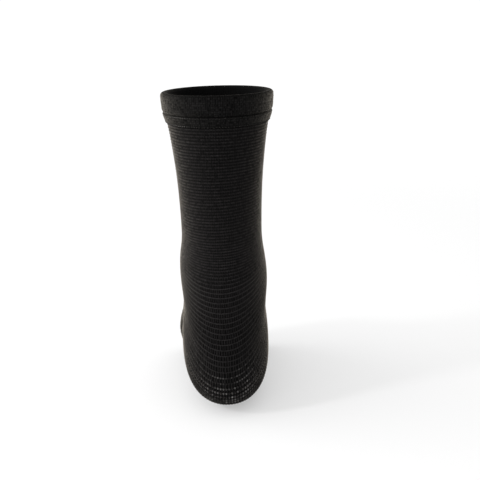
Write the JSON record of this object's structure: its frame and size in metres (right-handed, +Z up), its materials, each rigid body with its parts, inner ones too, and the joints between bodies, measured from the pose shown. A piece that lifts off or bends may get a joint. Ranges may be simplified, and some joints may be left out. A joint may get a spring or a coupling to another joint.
{
  "type": "elastic ankle support",
  "caption": "Open-ended elastic knit ankle sleeve in its worn form, turned round a closed heel, with a folded hem at the leg and at the foot.",
  "frame": {"origin": "on the inside of the sole, straight below the middle of the leg", "axes": "+Z up the leg, +Y towards the toes, +X to the outer side of the ankle"},
  "size_m": [0.0768, 0.1243, 0.2268],
  "materials": {
    "black_knit": "ribbed elastic knit, dull",
    "black_welt": "folded and stitched knit, dull"
  },
  "bodies": {
    "root": {"knit_sleeve": "black_knit", "top_hem": "black_welt", "foot_hem": "black_welt"}
  },
  "joints": []
}
